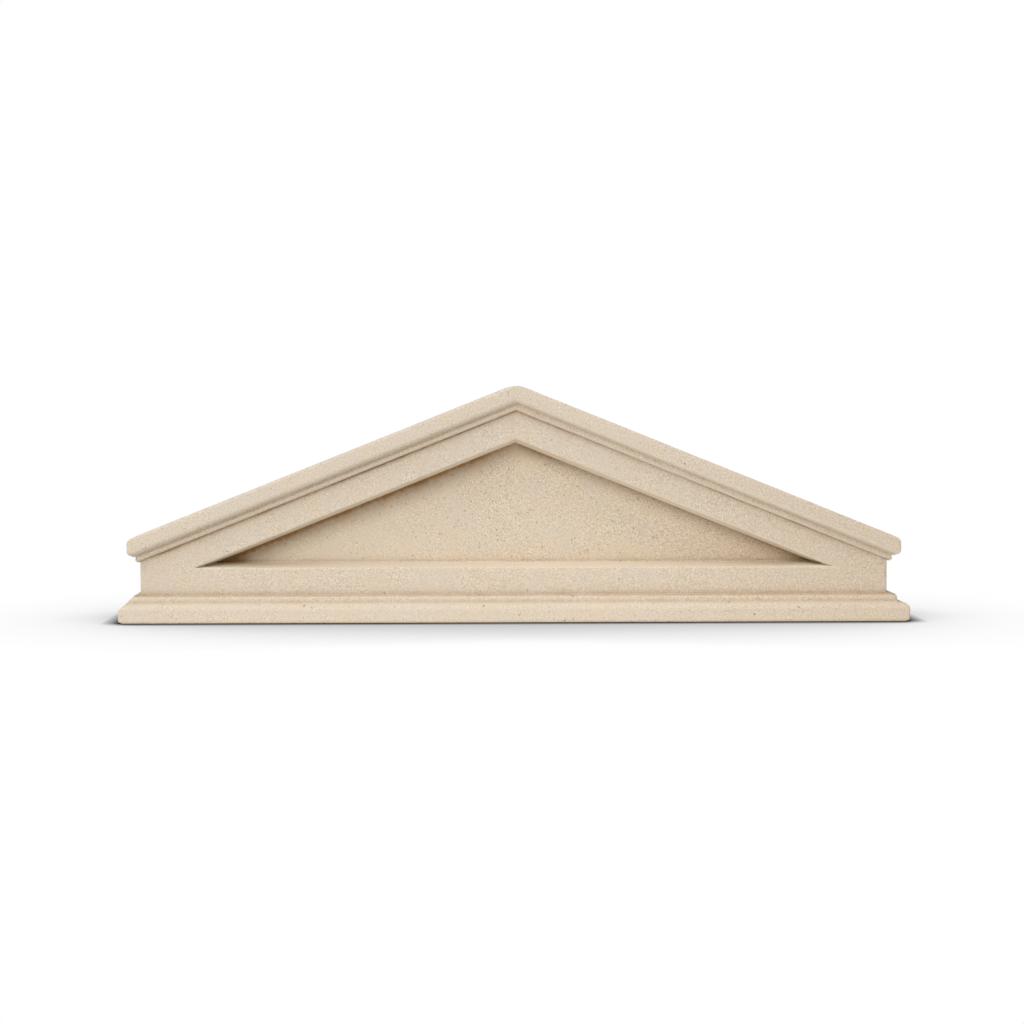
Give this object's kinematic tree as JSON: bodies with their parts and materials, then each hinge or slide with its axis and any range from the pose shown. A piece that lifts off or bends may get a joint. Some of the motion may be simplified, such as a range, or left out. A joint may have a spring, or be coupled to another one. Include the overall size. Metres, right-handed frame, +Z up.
{
  "type": "triangular pediment section",
  "caption": "Low triangular cast-stone pediment: moulded base band, plain gable face with a splayed triangular recess, and a raking cornice of band, cove and bead.",
  "frame": {"origin": "centre of the underside (bed), midway along the length and midway between the wall face and the front of the base band", "axes": "+X along the length, the axis across which left and right mirror each other; -Y is the way the moulded front looks and +Y points into the wall; +Z up"},
  "size_m": [1.2, 0.18, 0.358],
  "materials": {
    "cast_stone": "matt, sandy, finely pitted buff limestone-coloured cast stone"
  },
  "bodies": {
    "root": {"pediment": "cast_stone"}
  },
  "joints": []
}
